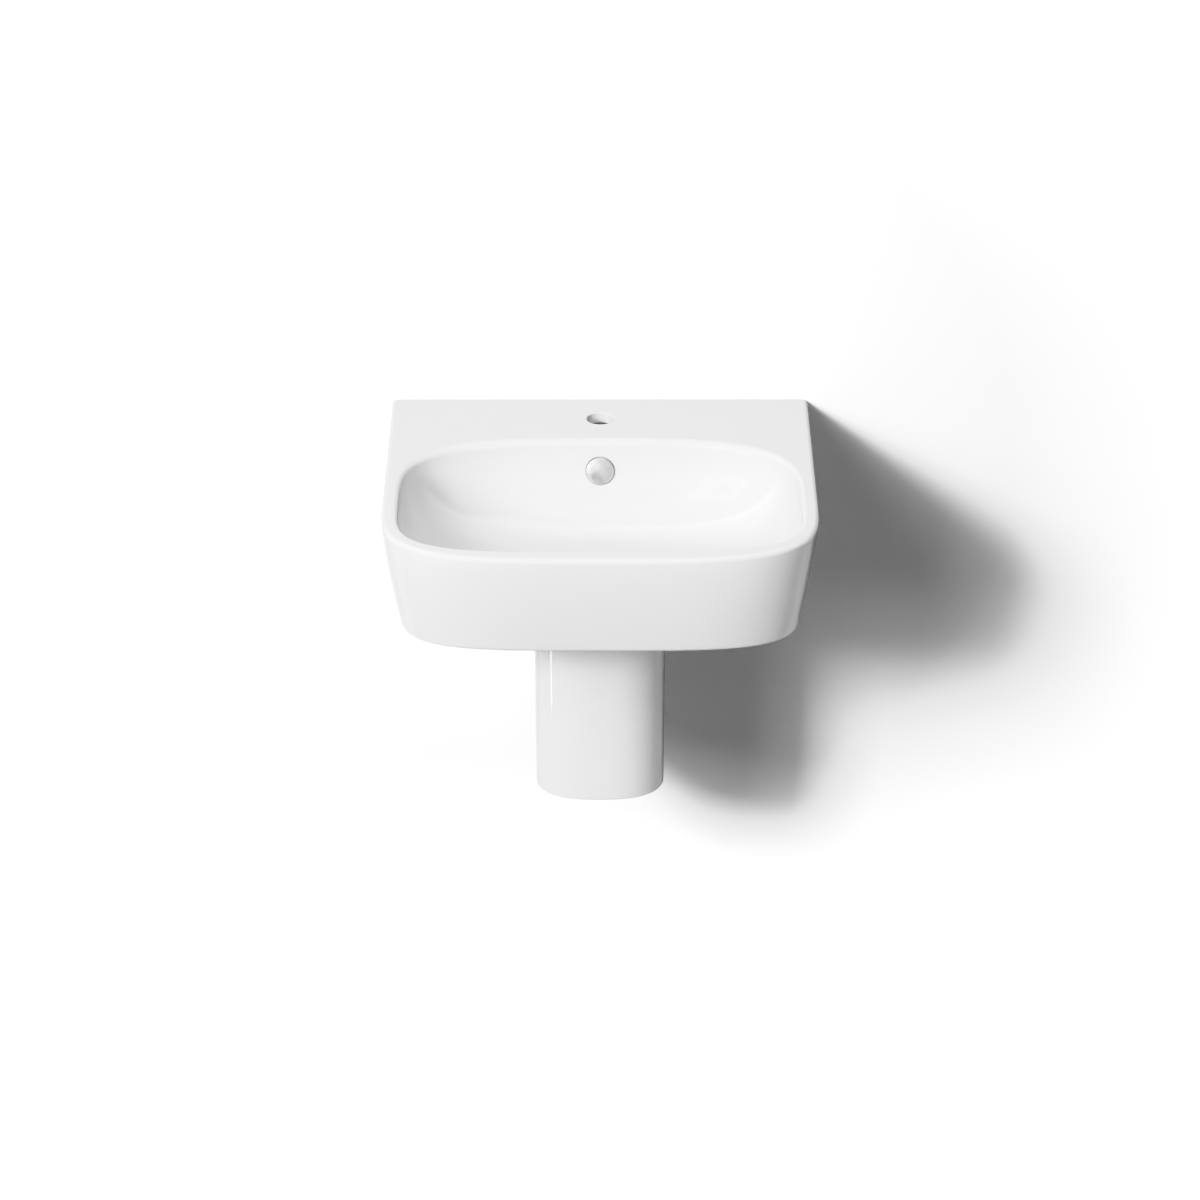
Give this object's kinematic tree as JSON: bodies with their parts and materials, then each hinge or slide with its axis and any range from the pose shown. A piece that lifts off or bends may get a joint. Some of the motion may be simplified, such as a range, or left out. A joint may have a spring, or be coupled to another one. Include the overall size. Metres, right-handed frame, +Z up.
{
  "type": "wall-hung washbasin with half pedestal",
  "caption": "White glazed washbasin for a wall, with one tap hole, a round overflow cover, a half pedestal, a click waste and a bottle trap.",
  "frame": {"origin": "the middle of the line between the two wall bolts of the basin, on the wall plane", "axes": "+X to the right of a person facing the basin, +Y into the wall, +Z up; the basin reaches out to -Y"},
  "size_m": [0.55, 0.52, 0.433],
  "materials": {
    "china": "white gloss glaze",
    "chrome": "polished chrome plate",
    "satin_chrome": "satin chrome plate",
    "brass": "turned brass",
    "zinc": "zinc-plated steel",
    "stainless": "stainless steel",
    "rubber": "moulded rubber",
    "white_plastic": "moulded white plastic",
    "nylon": "natural nylon"
  },
  "bodies": {
    "sink": {"basin": "china", "half_pedestal": "china", "pedestal_buffer_left": "rubber", "basin_bolt_left": "zinc", "basin_washer_left": "zinc", "basin_nut_left": "zinc", "basin_sleeve_left": "nylon", "pedestal_bolt_left": "zinc", "pedestal_washer_left": "zinc", "pedestal_nut_left": "zinc", "pedestal_sleeve_left": "nylon", "pedestal_buffer_right": "rubber", "basin_bolt_right": "zinc", "basin_washer_right": "zinc", "basin_nut_right": "zinc", "basin_sleeve_right": "nylon", "pedestal_bolt_right": "zinc", "pedestal_washer_right": "zinc", "pedestal_nut_right": "zinc", "pedestal_sleeve_right": "nylon", "overflow_insert": "white_plastic", "waste_body": "chrome", "trap_inlet_nut": "chrome", "trap_inlet_pipe": "chrome", "trap_collar_nut": "chrome", "trap_body": "chrome", "trap_outlet_nut": "chrome", "trap_outlet_pipe": "chrome", "wall_escutcheon": "chrome", "waste_flange_seal": "rubber", "waste_gasket": "rubber", "trap_inlet_seal": "rubber", "trap_collar_seal": "rubber", "trap_outlet_seal": "rubber", "waste_washer": "nylon", "waste_backnut": "brass", "stopper_cartridge": "brass", "cartridge_cap": "brass", "cartridge_nut": "brass", "stopper_spring": "stainless"},
    "stopper": {"stopper_cap": "chrome", "stopper_seal": "rubber", "stopper_plunger": "stainless"},
    "overflow_cover": {"overflow_cap": "satin_chrome"},
    "trap_cup_slider": {"trap_cup_seal": "rubber"},
    "trap_cup": {"trap_cup": "chrome"}
  },
  "joints": [
    {"name": "stopper_press", "type": "slide", "parent": "sink", "child": "stopper", "axis": [0, 0, 1], "range_m": [-0.008, 0], "stiffness_N_per_m": 800, "springref_m": 0.012, "deforming": ["stopper_spring"]},
    {"name": "overflow_cap_pull", "type": "slide", "parent": "sink", "child": "overflow_cover", "axis": [0, -0.9739, 0.2268], "range_m": [0, 0.02]},
    {"name": "cup_drop", "type": "slide", "parent": "sink", "child": "trap_cup_slider", "axis": [0, 0, -1], "range_m": [0, 0.012]},
    {"name": "cup_turn", "type": "hinge", "parent": "trap_cup_slider", "child": "trap_cup", "pos_m": [0, -0.26, -0.28], "axis": [0, 0, -1], "range_deg": [0, 1080]}
  ],
  "couplings": [
    {"joint": "cup_turn", "follows": "cup_drop", "rad_per_m": 1570.8}
  ]
}
